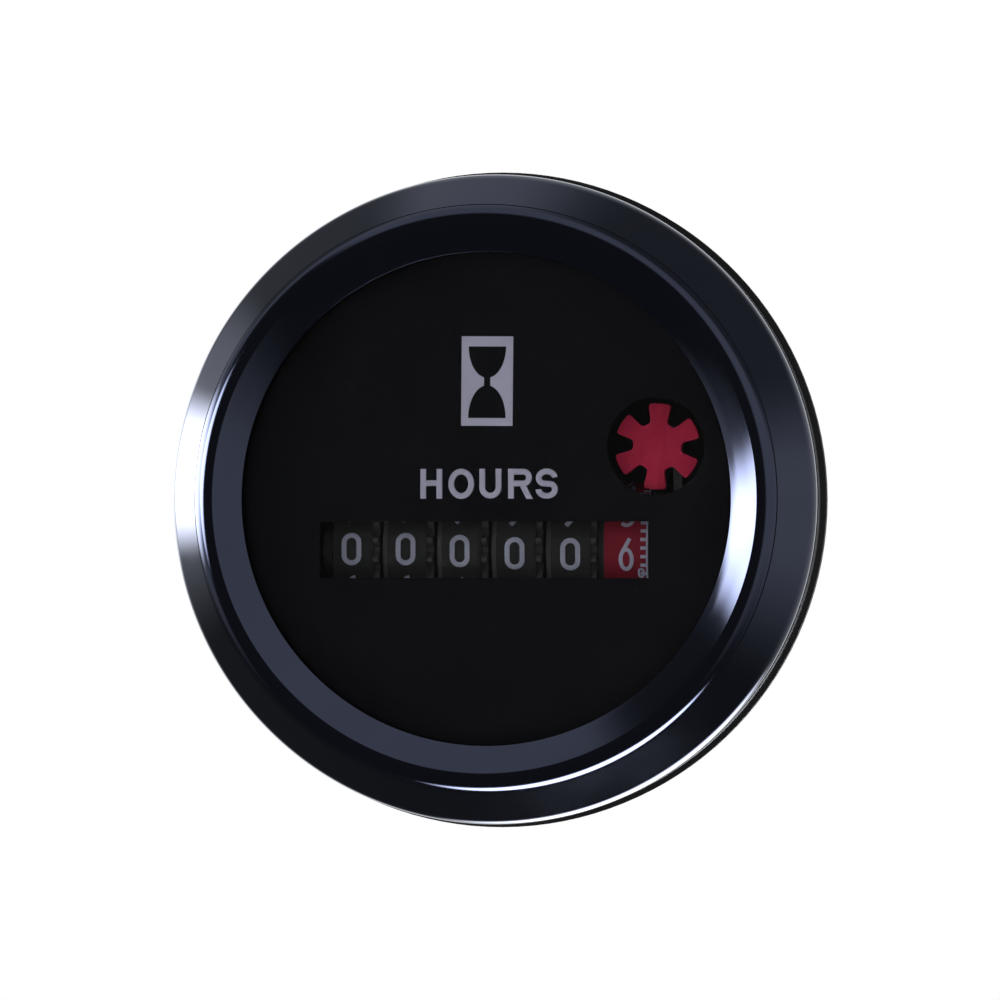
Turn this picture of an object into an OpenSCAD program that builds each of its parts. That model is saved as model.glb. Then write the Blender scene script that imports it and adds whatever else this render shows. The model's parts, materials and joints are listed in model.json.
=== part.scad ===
// Round panel-mounted hour meter: a six-drum counter behind a dial, driven by a small stepping motor.
// The dial faces -Y and +Z is up. The origin is the centre of the panel plane, behind the gasket.
// Inside the modules x runs right, y up and z towards the reader; stand() turns that upright.

/* [Case] */
// Diameter of the barrel that goes through the panel
barrel_d = 51; // [50.5:0.25:53]
// Room between the circuit board and the case floor
rear_room = 3.55; // [3.2:0.05:8]
// Thickness of the barrel's wall and floor
wall_t = 2; // [1.6:0.1:2.2]
// Thickness of the case flange
flange_t = 2.7; // [2.2:0.1:3.6]
// Thickness of the panel gasket
gasket_t = 1.5; // [1:0.1:2.4]
// How far the gasket stands out past the bezel
gasket_proud = 0.5; // [0:0.1:1]

/* [Bezel] */
// How far the flange and the bezel stand out past the barrel
flange_w = 4; // [3.6:0.1:5]
// Rise from the bezel's outer edge to its crest
bezel_rise = 6; // [5.4:0.1:6.6]
// Width of the dished lip, from the opening to the crest
dish_w = 2.45; // [2.2:0.05:2.7]
// Width of the flat top of the crest
crest_w = 0.25; // [0.25:0.05:0.5]
// Clear opening over the dial
view_d = 44.4; // [43:0.1:45]
// Depth of the lip below the crest
lip_drop = 1.5; // [1.2:0.05:1.7]
// Thickness of the bezel sheet
sheet_t = 0.6; // [0.5:0.05:0.7]
// Height of the straight skirt over the flange
skirt_h = 1.5; // [1.2:0.1:2.5]

/* [Dial] */
// Thickness of the lens
lens_t = 1.6; // [1.2:0.1:2.2]
// Thickness of the dial plate
dial_t = 0.6; // [0.4:0.1:1]
// Width of the counter window
window_w = 30; // [29:0.25:30.5]
// Height of the counter window
window_h = 5.1; // [4.5:0.1:6]
// Depth of the window's centre below the dial's centre
window_drop = 4.6; // [4.3:0.1:4.9]
// Diameter of the run indicator's hole
star_hole_d = 8.8; // [8.2:0.1:9.4]
// Diameter over the star wheel's arms
star_d = 7.8; // [7:0.1:8]

/* [Counter] */
// Diameter of the number drums
drum_d = 12.4; // [12.2:0.05:12.5]
// Distance from drum to drum
drum_pitch = 5; // [4.9:0.05:5.1]
// Width of the black drums' rims
rim_w = 3.6; // [3.4:0.05:3.7]
// Width of the tenths drum's rim
tenths_rim_w = 4.1; // [4:0.05:4.2]
// Diameter of the drum shaft
drum_shaft_d = 2; // [1.6:0.1:2.4]
// Diameter of the pinion shaft
pinion_shaft_d = 1.2; // [1:0.1:1.5]
// Thickness of the counter frame's sheet
frame_t = 0.8; // [0.6:0.1:1]

/* [Movement] */
// Thickness of the movement plates
plate_t = 1.2; // [1:0.1:1.5]
// Gap between the movement plates
plate_gap = 5.8; // [5.8:0.1:6.4]
// Diameter of the indicator arbor
arbor_d = 1.2; // [1:0.05:1.3]
// Diameter of the rotor magnet
magnet_d = 3.2; // [2.8:0.1:3.4]
// Diameter of the coil winding
coil_d = 6.5; // [5.5:0.1:6.6]
// Thickness of the circuit board
board_t = 1.2; // [0.8:0.1:1.6]

/* [Terminals and studs] */
// Width of a blade terminal
blade_w = 6.3; // [4.8:0.1:6.5]
// Thickness of a blade terminal
blade_t = 0.8; // [0.5:0.1:1]
// Length of a blade behind the case
blade_l = 8.5; // [6:0.5:10]
// Distance between the blades
blade_pitch = 14; // [12:0.5:16]
// Diameter of the mounting studs
stud_d = 4; // [3:0.25:4]
// Length of the studs behind the case
stud_l = 14; // [8:0.5:20]
// Distance between the mounting studs
stud_pitch = 32; // [31:0.25:33]

/* [Hidden] */
$fn = 72;

// Clearances: run for turning fits, slide for pieces laid in place
run = 0.05;
slide = 0.1;

// Bezel section, as radius and height
barrel_r = barrel_d / 2;
bezel_r = barrel_r + flange_w;
view_r = view_d / 2;
bend_r = 0.85;
crest_r = 1.6;
hem_z = gasket_t + flange_t + slide;
hem_w = 1.1;
edge_z = hem_z + sheet_t + skirt_h;
crest_z = edge_z + bezel_rise;
lip_z = crest_z - lip_drop;
dish_a = atan2(lip_drop, dish_w);
crest_in = view_r + dish_w;
crest_c = [crest_in + crest_w, crest_z - crest_r];
edge_c = [bezel_r - bend_r, edge_z];
cone_run = edge_c - crest_c;
cone_a = acos((crest_r - bend_r) / norm(cone_run)) + atan2(cone_run.y, cone_run.x);

// The stack under the lip: seal, lens, dial, case shelf
seal_t = 0.4;
seat_w = 2.4;
seat_r = view_r + seat_w;
lens_z = lip_z - sheet_t - seal_t - lens_t;
dial_z = lens_z - dial_t;
shelf_w = 1.6;

// Case
bore_r = barrel_r - wall_t;
shoulder_w = 0.4;
shoulder_r = barrel_r + shoulder_w;
boss_r = 2.3;
boss_at = 20.3;
boss_angles = [75, 195, 315];
arm_r = 2.4;
screw_r = 0.8;
head_r = 1.9 * screw_r;
boss_bite = 5;
pillar_bite = 2.5;
board_bite = 1.8;
standoff_y = [14, -14];

// Counter: drums on a shaft, transfer pinions behind them
drum_r = drum_d / 2;
drum_count = 6;
bank_x = -0.35;
drum_y = -window_drop;
rim_in = drum_r - 1.5;
hub_r = 1.9;
web_t = 1;
hub_gap = 0.2;
ring_teeth = 20;
pinion_teeth = 8;
digit_a = 36;
carry_m = 2 * (drum_r - 0.7) / ring_teeth;
ring_w = 0.5;
pinion_back = carry_m * (ring_teeth + pinion_teeth) / 2;
lock_r = drum_r - 0.7;
notch_in = drum_r - 1.4;
function drum_x(i) = bank_x + (i - (drum_count - 1) / 2) * drum_pitch;
function rim_of(i) = i == drum_count - 1 ? tenths_rim_w : rim_w;

// Worm drive on the right of the tenths drum
wheel_teeth = 50;
wheel_r = drum_r + 1.3;
worm_m = 2 * wheel_r / wheel_teeth;
wheel_tip = wheel_r + 0.2;
wheel_root = wheel_r - 0.36;
wheel_w = 1.1;
wheel_gap = 0.43;
wheel_x = drum_x(drum_count - 1) + tenths_rim_w / 2 + wheel_gap;
worm_r = 1.75;
worm_e = 0.3;
worm_gap = 0.07;
worm_l = 3.6;
drum_z = dial_z - 0.4 - wheel_tip;
pinion_z = drum_z - pinion_back;
star_x = wheel_x + wheel_w / 2;
star_y = drum_y + wheel_r + worm_r + worm_gap;
star_t = 0.9;
star_cap = 0.35;
star_z = dial_z - 0.9 - star_t;

// Counter frame
cheek_left = drum_x(0) - drum_pitch / 2 - slide - frame_t;
cheek_right = wheel_x + wheel_w + 0.6;
cheek_half = 5;
web_z = pinion_z - carry_m * (pinion_teeth / 2 + 1) - 1.6 - frame_t;
ear_z = star_z - 2.4;
ear_half = 1.9;
lug_x = drum_x(drum_count - 1) - tenths_rim_w / 2 + 0.6;
lug_half = 2;
frame_screw_x = [drum_x(1), drum_x(4)];
frame_screw_y = drum_y - cheek_half + 1.8;

// Movement plates and gear train, from the front plate backwards
plate_front = web_z;
plate_back = plate_front - plate_t;
rear_front = plate_back - plate_gap;
rear_back = rear_front - plate_t;
plate_r = 18;
arbor_m = 0.3;
arbor_teeth = 40;
rotor_m = 0.25;
rotor_teeth = 48;
leaf_teeth = 8;
pivot_r = 0.4;
mesh_play = 0.09;
reduce_a = 150;
reduce_d = arbor_m * (arbor_teeth + leaf_teeth) / 2;
reduce_at = [star_x, star_y] + reduce_d * [cos(reduce_a), sin(reduce_a)];
rotor_a = 190;
rotor_d = rotor_m * (rotor_teeth + leaf_teeth) / 2;
rotor_at = reduce_at + rotor_d * [cos(rotor_a), sin(rotor_a)];
pillar_r = 1.5;
tenon_r = 0.9;
pillars = [[-4, 14.8], [12.5, -9], [-9, -13.2]];

// Motor: a coil on a core strip that bridges the two ends of a stator plate
stator_t = 0.8;
stator_front = plate_back - 4;
stator_back = stator_front - stator_t;
air_gap = 0.5;
pole_r = magnet_d / 2 + air_gap;
neck = 0.4;
bar_w = 2 * (pole_r + neck);
coil_x = -12;
foot_y = -9;
foot_w = 4;
leg_w = 4.4;
core_w = 3;
core_t = 0.8;
core_mid = stator_front + core_t / 2;
tube_t = 0.5;
coil_low = foot_y + foot_w / 2 + 0.4;
coil_high = rotor_at.y - bar_w / 2 - 0.4;
cheek_t = 0.8;
pads = [[coil_x, rotor_at.y], [coil_x, foot_y], [4, foot_y]];

// Circuit board behind the movement
board_front = rear_back - 2.8;
board_back = board_front - board_t;
board_r = 17.4;
floor_z = board_back - rear_room;
barrel_depth = wall_t - floor_z;

// Terminals and studs
blade_y = -8;
tail_w = 1.4;
stud_head_r = stud_d;
stud_head_t = 2.2;
stud_neck_r = stud_d / 2 + 0.3;
collar_h = 0.8;
black = [0.05, 0.05, 0.06];
red = [0.5, 0.1, 0.18];
steel = [0.7, 0.7, 0.72];
brass = [0.75, 0.6, 0.3];
cream = [0.85, 0.82, 0.72];

// Turns the working frame upright, so that the dial faces -Y
module stand() { rotate([90, 0, 0]) children(); }

// Places children with their z axis along +x, and their x axis pointing to the back
module across(x, y, z) { translate([x, y, z]) rotate([0, 90, 0]) children(); }

// Round bar between two heights
module bar(r, low, high) { translate([0, 0, low]) cylinder(r = r, h = high - low); }

// Flat washer between two heights
module ring(outer, inner, low, high) {
    translate([0, 0, low]) linear_extrude(high - low) difference() {
        circle(outer);
        circle(inner);
    }
}

// Points on an arc, with angles in degrees
function arc(c, r, from, to, steps = 6) =
    [for (i = [0:steps]) c + r * [cos(from + (to - from) * i / steps), sin(from + (to - from) * i / steps)]];

function back_to_front(v) = [for (i = [len(v) - 1:-1:0]) v[i]];

// Half the angle that an involute tooth takes up at radius r, thinned by play
pressure = 25;
function involute(a) = tan(a) * 180 / PI - a;
function base_r(teeth, m) = teeth * m / 2 * cos(pressure);
function roll_a(teeth, m, r) = r > base_r(teeth, m) ? acos(base_r(teeth, m) / r) : 0;
function tooth_a(teeth, m, r, play) =
    90 / teeth - play / (teeth * m) * 180 / PI + involute(pressure) - involute(roll_a(teeth, m, r));

function polar(r, a) = r * [cos(a), sin(a)];

// Spur gear with a tooth on the x axis; every keep-th tooth stays, from tooth first on
module spur(teeth, m, play, keep = 1, first = 0, tip = 0.85, root = 1.15) {
    radii = [teeth * m / 2 - root * m, teeth * m / 2, teeth * m / 2 + tip * m];
    polygon([
        for (i = [0:teeth - 1])
            let (a = i * 360 / teeth, top = (i - first) % keep == 0 ? 2 : 0)
                each concat(
                    [for (k = [0:top]) polar(radii[k], a - tooth_a(teeth, m, radii[k], play))],
                    [for (k = [top:-1:0]) polar(radii[k], a + tooth_a(teeth, m, radii[k], play))]
                )
    ]);
}

// Wheel with straight-sided teeth, widths given at root and tip, with a tooth on the x axis
module rack_wheel(teeth, root, tip, root_w, tip_w) {
    polygon([
        for (i = [0:teeth - 1])
            let (a = i * 360 / teeth, wide = asin(root_w / 2 / root), narrow = asin(tip_w / 2 / tip))
                each [
                    polar(root, a - wide), polar(tip, a - narrow),
                    polar(tip, a + narrow), polar(root, a + wide)
                ]
    ]);
}

// Slotted cheese-head screw with its head standing on z = 0
module screw(length, r = screw_r) {
    difference() {
        bar(r * 1.9, 0, r);
        translate([-r * 2, -r * 0.2, r * 0.55]) cube([r * 4, r * 0.4, r]);
    }
    bar(r, -length, 0.01);
}

// Spun ring: dished lip, rounded crest, steep cone, skirt and a hem rolled into the case groove
module bezel() {
    groove_c = crest_c + polar(crest_r + 0.07, cone_a) - polar(0.25, cone_a + 90);
    outer = concat(
        [[view_r, lip_z], [crest_in, crest_z]],
        arc(crest_c, crest_r, 90, cone_a, 10),
        arc(edge_c, bend_r, cone_a, 0),
        [[bezel_r, hem_z], [bezel_r - hem_w, hem_z]]
    );
    inner = concat(
        [[view_r, lip_z - sheet_t], [crest_in + sheet_t * tan(dish_a / 2), crest_z - sheet_t]],
        arc(crest_c, crest_r - sheet_t, 90, cone_a),
        arc(edge_c, bend_r - sheet_t, cone_a, 0, 3),
        [[bezel_r - sheet_t, hem_z + sheet_t], [bezel_r - hem_w, hem_z + sheet_t]]
    );
    color(black) stand() difference() {
        rotate_extrude() polygon(concat(outer, back_to_front(inner)));
        rotate_extrude() translate(groove_c) circle(0.14, $fn = 24);
    }
}

// Wedge-shaped rubber ring that fills the space between the lens and the sloping lip
module lens_seal() {
    near = view_r + 0.3;
    far = seat_r - slide - 0.3;
    rise = lip_drop / (dish_w + sheet_t * tan(dish_a / 2));
    low = lens_z + lens_t;
    top = low + seal_t - run;
    color(black) stand() rotate_extrude() polygon([
        [near, low], [far, low], [far, top + (far - view_r) * rise], [near, top + (near - view_r) * rise]
    ]);
}

// Lens with a raised foot round its back, so that its middle stands clear of the dial
module lens() {
    edge = 0.2;
    rim = seat_r - slide;
    foot = [rim - 1.2, lens_z + 0.3];
    color([0.9, 0.95, 1, 0.3]) stand() rotate_extrude() polygon([
        [0, foot.y], foot, [foot.x, lens_z], [rim - edge, lens_z], [rim, lens_z + edge],
        [rim, lens_z + lens_t - edge], [rim - edge, lens_z + lens_t], [0, lens_z + lens_t]
    ]);
}

// Plate with the counter window and the indicator hole
module dial() {
    color(black) stand() translate([0, 0, dial_z]) linear_extrude(dial_t) difference() {
        circle(seat_r - slide);
        translate([bank_x - slide - window_w / 2, drum_y - window_h / 2]) square([window_w, window_h]);
        translate([star_x, star_y]) circle(d = star_hole_d);
    }
}

module panel_gasket() {
    color(black) stand() ring(bezel_r + gasket_proud, shoulder_r, 0, gasket_t);
}

// Moulded cup: floor, barrel, flange with the hem groove, collar and dial shelf
module case_shell() {
    nose_r = bezel_r - sheet_t - slide;
    groove_r = bezel_r - hem_w - slide;
    collar_z = lens_z + lens_t + 0.1;
    collar_r = crest_c.x + 0.75;
    shelf_r = seat_r - shelf_w;
    rotate_extrude() polygon([
        [0, -barrel_depth], [barrel_r - 0.8, -barrel_depth], [barrel_r, 0.8 - barrel_depth],
        [barrel_r, 0], [shoulder_r, 0], [shoulder_r, gasket_t], [bezel_r, gasket_t], [bezel_r, hem_z - slide],
        [groove_r, hem_z - slide], [groove_r, hem_z + sheet_t + slide], [nose_r, hem_z + sheet_t + slide],
        [nose_r, edge_z - 0.4], [collar_r, collar_z], [seat_r, collar_z],
        [seat_r, dial_z], [shelf_r, dial_z], [shelf_r, dial_z - 1.2],
        [bore_r, dial_z - 1.2 - abs(bore_r - shelf_r)], [bore_r, floor_z], [0, floor_z]
    ]);
}

// Screw bosses, board standoffs and stud sockets on the floor
module case_posts() {
    for (a = boss_angles) rotate(a) {
        translate([boss_at, 0]) bar(boss_r, floor_z - 0.5, plate_back);
        translate([boss_at, -0.7, floor_z - 0.5])
            cube([bore_r - boss_at + 0.5, 1.4, plate_back - 2 - floor_z]);
    }
    for (y = standoff_y) translate([0, y]) bar(2, floor_z - 0.5, board_back);
    for (s = [-1, 1]) translate([s * stud_pitch / 2, 0]) {
        bar(stud_head_r + 1, floor_z - 0.5, floor_z + stud_head_t);
        bar(stud_head_r, -barrel_depth - collar_h, floor_z);
    }
}

module case() {
    color(black) stand() difference() {
        union() {
            case_shell();
            case_posts();
        }
        for (a = boss_angles) rotate(a) translate([boss_at, 0]) {
            bar(screw_r, plate_back - boss_bite - 2, plate_back + 1);
            bar(arm_r + slide, plate_back + slide, plate_front);
            bar(head_r + slide, plate_front - slide, plate_front + screw_r + slide);
        }
        for (y = standoff_y) translate([0, y]) bar(screw_r, board_back - board_bite - 0.4, board_back + 1);
        for (s = [-1, 1]) translate([s * stud_pitch / 2, 0]) {
            bar(stud_neck_r, -barrel_depth - 2, floor_z + 1);
            translate([0, 0, floor_z]) cylinder(r = stud_head_r, h = stud_head_t + 1, $fn = 6);
        }
        for (s = [-1, 1])
            translate([s * blade_pitch / 2 - blade_t / 2, blade_y - blade_w / 2, -barrel_depth - 1])
                cube([blade_t, blade_w, wall_t + 2]);
    }
}

module mounting_studs() {
    color(steel) stand() for (s = [-1, 1]) translate([s * stud_pitch / 2, 0]) {
        translate([0, 0, floor_z]) cylinder(r = stud_head_r, h = stud_head_t, $fn = 6);
        bar(stud_neck_r, -barrel_depth - collar_h, floor_z + 0.5);
        bar(stud_d / 2, 0.5 - barrel_depth - stud_l, floor_z + 0.5);
        translate([0, 0, -barrel_depth - stud_l]) cylinder(r1 = stud_d / 2 - 0.5, r2 = stud_d / 2, h = 0.5);
    }
}

// Blade with a pierced eye, a shoulder on the floor and a tail soldered into the board
module blade(side) {
    shoulder_t = 1.2;
    tip = 1.2;
    eye_d = 1.7;
    tail_end = board_front + 0.6;
    end = -barrel_depth - blade_l;
    translate([side * blade_pitch / 2, blade_y]) rotate([90, 0, 90]) translate([0, 0, -blade_t / 2])
        linear_extrude(blade_t) difference() {
            polygon([
                [blade_w / 2, floor_z], [blade_w / 2 + 1, floor_z], [blade_w / 2 + 1, floor_z + shoulder_t],
                [tail_w / 2, floor_z + shoulder_t], [tail_w / 2, tail_end], [-tail_w / 2, tail_end],
                [-tail_w / 2, floor_z + shoulder_t], [-blade_w / 2 - 1, floor_z + shoulder_t],
                [-blade_w / 2 - 1, floor_z], [-blade_w / 2, floor_z], [-blade_w / 2, end + tip],
                [tip - blade_w / 2, end], [blade_w / 2 - tip, end], [blade_w / 2, end + tip]
            ]);
            translate([0, -barrel_depth - blade_l * 0.55]) circle(d = eye_d);
        }
}

module terminal_left() { color(brass) stand() blade(-1); }

module terminal_right() { color(brass) stand() blade(1); }

// Cheek outline in depth and height: a tapered plate that carries both shafts
module cheek_outline() {
    nose = 2.2;
    hull() {
        translate([drum_z, drum_y]) circle(nose, $fn = 32);
        translate([web_z, drum_y - cheek_half]) square([frame_t, 2 * cheek_half]);
        translate([pinion_z, drum_y - cheek_half]) square([1, 2 * cheek_half]);
    }
}

// Stands a depth and height outline up as a sheet that starts at x
module cheek(x) {
    translate([x, 0, 0]) rotate([0, -90, 0]) mirror([0, 0, 1]) linear_extrude(frame_t) children();
}

// Bent sheet bracket: back web, two cheeks, a lug behind the tenths drum for the pinion shaft,
// and an ear on the right for the indicator arbor
module counter_frame() {
    arm_z = ear_z - 1;
    color(steel) stand() difference() {
        union() {
            translate([cheek_left, drum_y - cheek_half, web_z])
                cube([cheek_right + frame_t - cheek_left, 2 * cheek_half, frame_t]);
            for (x = [cheek_left, cheek_right]) cheek(x) cheek_outline();
            cheek(lug_x) {
                translate([web_z, drum_y - lug_half]) square([pinion_z - 0.6 - web_z, 2 * lug_half]);
                translate([pinion_z, drum_y]) circle(pinion_shaft_d / 2 + 0.5);
                translate([pinion_z - 1.2, drum_y - 1.1]) square([1.2, 2.2]);
            }
            cheek(cheek_right) polygon([
                [drum_z, drum_y + 2.2], [drum_z, drum_y - 2.2], [drum_z + 2, drum_y - 1],
                [ear_z + frame_t, star_y - ear_half], [ear_z + frame_t, star_y + ear_half],
                [arm_z, star_y + ear_half], [arm_z, star_y - ear_half - 1], [drum_z + 1.5, drum_y + 2.2]
            ]);
            translate([star_x, star_y, ear_z]) linear_extrude(frame_t) {
                circle(ear_half);
                translate([0, -ear_half]) square([cheek_right + frame_t - star_x, 2 * ear_half]);
            }
        }
        across(cheek_left - 1, drum_y, drum_z) cylinder(d = drum_shaft_d, h = cheek_right - cheek_left + 3);
        across(cheek_left - 1, drum_y, pinion_z) cylinder(d = pinion_shaft_d, h = lug_x - cheek_left + 3);
        translate([star_x, star_y]) bar(arbor_d / 2 + run, ear_z - 1, ear_z + frame_t + 1);
        for (x = frame_screw_x) translate([x, frame_screw_y]) bar(screw_r, web_z - 1, web_z + 2);
    }
}

// Shaft with peened ends, from the left cheek to x
module riveted_shaft(r, x) {
    head = 0.4;
    length = x - cheek_left;
    cylinder(r = r, h = length);
    translate([0, 0, -head]) cylinder(r1 = r, r2 = r + 0.4, h = head);
    translate([0, 0, length]) cylinder(r1 = r + 0.4, r2 = r, h = head);
}

module drum_shaft() {
    color(steel) stand() across(cheek_left, drum_y, drum_z)
        riveted_shaft(drum_shaft_d / 2, cheek_right + frame_t);
}

module pinion_shaft() {
    color(steel) stand() across(cheek_left, drum_y, pinion_z)
        riveted_shaft(pinion_shaft_d / 2, lug_x + frame_t);
}

// Locking disc with the three notches that leave its two carry teeth, centred on angle a
module carry_disc(a) {
    pitch = 360 / ring_teeth;
    difference() {
        circle(lock_r);
        circle(rim_in);
        for (k = [-1:1]) rotate(a + k * pitch)
            polygon([[notch_in, -0.32], [lock_r + 1, -0.75], [lock_r + 1, 0.75], [notch_in, 0.32]]);
    }
}

// Number drum i from the left: rim, web and hub, a 20-tooth ring on its right, a carry disc on its left.
// notch is the angle of the carry notch from the transfer pinion.
module drum(i, notch) {
    last = drum_count - 1;
    rim = rim_of(i);
    left = -drum_pitch / 2 + hub_gap / 2;
    right = i == last ? rim / 2 + wheel_gap + wheel_w + 0.3 : drum_pitch / 2 - hub_gap / 2;
    bore = drum_shaft_d / 2 + run;
    stand() across(drum_x(i), drum_y, drum_z) {
        rotate_extrude() polygon([
            [bore, left], [hub_r, left], [hub_r, -web_t / 2], [rim_in, -web_t / 2], [rim_in, -rim / 2],
            [drum_r, -rim / 2], [drum_r, rim / 2], [rim_in, rim / 2], [rim_in, web_t / 2], [hub_r, web_t / 2],
            [hub_r, right], [bore, right]
        ]);
        if (i < last) translate([0, 0, rim / 2 - 0.1]) linear_extrude(ring_w + 0.1) difference() {
            rotate(180 / ring_teeth) spur(ring_teeth, carry_m, mesh_play);
            circle(rim_in);
        }
        if (i > 0) translate([0, 0, -rim / 2 - ring_w]) linear_extrude(ring_w + 0.1) carry_disc(notch);
    }
}

module drum_ten_thousands() { color(black) drum(0, 0); }

module drum_thousands() { color(black) drum(1, -digit_a / 2); }

module drum_hundreds() { color(black) drum(2, -digit_a / 2); }

module drum_tens() { color(black) drum(3, -digit_a / 2); }

module drum_units() { color(black) drum(4, -digit_a / 2); }

module drum_tenths() { color(red) drum(5, 3.5 * digit_a); }

// Pinion between drums i and i + 1: all teeth mesh with the ring, alternate ones reach over the carry disc
module transfer_pinion(i) {
    low = drum_x(i) + rim_of(i) / 2 + slide;
    high = drum_x(i + 1) - rim_of(i + 1) / 2 - slide;
    step = low + ring_w;
    color(black) stand() across(0, drum_y, pinion_z) difference() {
        union() {
            translate([0, 0, low]) linear_extrude(step - low) spur(pinion_teeth, carry_m, mesh_play);
            translate([0, 0, step]) linear_extrude(high - step) spur(pinion_teeth, carry_m, mesh_play, 2, 1);
        }
        translate([0, 0, low - 1]) cylinder(d = pinion_shaft_d + 2 * run, h = high - low + 2);
    }
}

module transfer_pinion_1() { transfer_pinion(4); }

module transfer_pinion_2() { transfer_pinion(3); }

module transfer_pinion_3() { transfer_pinion(2); }

module transfer_pinion_4() { transfer_pinion(1); }

module transfer_pinion_5() { transfer_pinion(0); }

// Wheel pressed on the tenths drum's hub, turned one tooth on by each turn of the worm
module worm_wheel() {
    color(black) stand() across(wheel_x, drum_y, drum_z) linear_extrude(wheel_w) difference() {
        rotate(90 + 180 / wheel_teeth) rack_wheel(wheel_teeth, wheel_root, wheel_tip, 0.44, 0.16);
        circle(hub_r);
    }
}

// Places children on the indicator arbor's axis
module on_arbor() { stand() translate([star_x, star_y]) children(); }

// Steel arbor with a collar behind the ear and one in front of the front plate
module indicator_arbor() {
    r = arbor_d / 2;
    collar_r = r + 0.5;
    color(steel) on_arbor() rotate_extrude() polygon([
        [0, rear_back + 0.2], [pivot_r, rear_back + 0.2], [pivot_r, rear_front + run], [r, rear_front + run],
        [r, plate_front + run], [collar_r, plate_front + run],
        [collar_r, plate_front + 1], [r, plate_front + 1], [r, ear_z - 0.7], [collar_r, ear_z - 0.7],
        [collar_r, ear_z - run], [r, ear_z - run],
        [r, star_z + star_t - star_cap], [0, star_z + star_t - star_cap]
    ]);
}

// Right-hand single-start thread with a rounded profile
module worm() {
    lead = PI * worm_m;
    turns = worm_l / lead;
    low = drum_z - worm_l / 2;
    // the middle of the thread faces a tooth space of the wheel below it
    facing = -90 - 180 * turns;
    color(black) on_arbor() rotate(facing) difference() {
        translate([0, 0, low]) linear_extrude(worm_l, twist = -360 * turns, slices = round(12 * turns))
            translate([worm_e, 0]) circle(worm_r, $fn = 14);
        bar(arbor_d / 2 / cos(180 / 14), low - 1, low + worm_l + 1, $fn = 14);
    }
}

// Six flared arms around a hub with a blind bore
module star_wheel() {
    tip = star_d / 2;
    root = tip * 0.57;
    arms = 6;
    lean = -3.5;
    root_half = 19;
    tip_half = 15.5;
    color(red) on_arbor() translate([0, 0, star_z]) difference() {
        linear_extrude(star_t) rotate(90 + lean) polygon([
            for (i = [0:arms - 1])
                let (a = i * 360 / arms)
                    each concat(
                        [polar(root, a - root_half)],
                        arc([0, 0], tip, a - tip_half, a + tip_half, 4),
                        [polar(root, a + root_half)]
                    )
        ]);
        bar(arbor_d / 2, -1, star_t - star_cap);
    }
}

module arbor_wheel() {
    low = plate_back - 1.6;
    color(brass) on_arbor() translate([0, 0, low]) linear_extrude(0.8) difference() {
        rotate(reduce_a) spur(arbor_teeth, arbor_m, mesh_play);
        circle(arbor_d / 2);
    }
}

// A leaf pinion that drives the arbor wheel, and the wheel that the rotor drives, on one arbor
module reduction_wheel() {
    turn = reduce_a + 180 + 180 / leaf_teeth;
    low = plate_back - 2.9;
    color(cream) stand() translate([reduce_at.x, reduce_at.y]) {
        rotate(turn) translate([0, 0, plate_back - 2.4]) linear_extrude(1.9)
            spur(leaf_teeth, arbor_m, mesh_play);
        rotate(rotor_a) translate([0, 0, low]) linear_extrude(0.6) spur(rotor_teeth, rotor_m, mesh_play);
        bar(pivot_r, rear_back + 0.2, plate_front - 0.2);
    }
}

module rotor_pinion() {
    turn = rotor_a + 180 + 180 / leaf_teeth;
    color(cream) stand() translate([rotor_at.x, rotor_at.y]) {
        rotate(turn) translate([0, 0, plate_back - 3.5]) linear_extrude(1.6)
            spur(leaf_teeth, rotor_m, mesh_play);
        bar(pivot_r, rear_back + 0.2, plate_front - 0.2);
    }
}

module rotor_magnet() {
    color(steel) stand() translate([rotor_at.x, rotor_at.y])
        ring(magnet_d / 2, pivot_r, stator_back - 0.4, stator_front + 0.4);
}

// Pivot holes of the two smaller arbors
module pivot_holes() {
    for (p = [reduce_at, rotor_at]) translate(p) circle(pivot_r + run);
}

// Front plate: a disc with three arms that lie on the case bosses
module front_plate() {
    color(black) stand() translate([0, 0, plate_back]) linear_extrude(plate_t) difference() {
        union() {
            circle(plate_r);
            for (a = boss_angles) rotate(a) {
                translate([0, -3]) square([boss_at, 6]);
                translate([boss_at, 0]) circle(arm_r);
            }
        }
        for (a = boss_angles) rotate(a) translate([boss_at, 0]) circle(screw_r);
        for (p = pillars) translate(p) circle(tenon_r);
        for (x = frame_screw_x) translate([x, frame_screw_y]) circle(screw_r);
        translate([star_x, star_y]) circle(arbor_d / 2 + run);
        pivot_holes();
    }
}

// Rear plate: a disc with a cut-out for the coil and raised pads under the stator
module rear_plate() {
    pad_r = 1.8;
    color(brass) stand() difference() {
        union() {
            bar(plate_r - 0.3, rear_back, rear_front);
            for (p = pads) translate(p) bar(pad_r, rear_front - 0.2, stator_back);
        }
        translate([coil_x - coil_d / 2 - 0.4, coil_low - 0.2, rear_back - 1])
            cube([coil_d + 0.8, coil_high - coil_low + 0.4, plate_t + 1.5]);
        for (p = pillars) translate(p) bar(screw_r, rear_back - 1, rear_front + 1);
        for (p = [pads[0], pads[1]]) translate(p) bar(screw_r, rear_back - 1, stator_back + 1);
        translate([star_x, star_y]) bar(pivot_r + run, rear_back - 1, rear_front + 1);
        translate([0, 0, rear_back - 1]) linear_extrude(plate_t + 2) pivot_holes();
    }
}

// Pillars riveted into the front plate and tapped for the rear plate's screws
module plate_pillars() {
    color(steel) stand() for (p = pillars) translate(p) difference() {
        union() {
            bar(pillar_r, rear_front, plate_back);
            bar(tenon_r, plate_back - 0.1, plate_front);
        }
        bar(screw_r, rear_front - 1, rear_front + pillar_bite + 0.5);
    }
}

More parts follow.
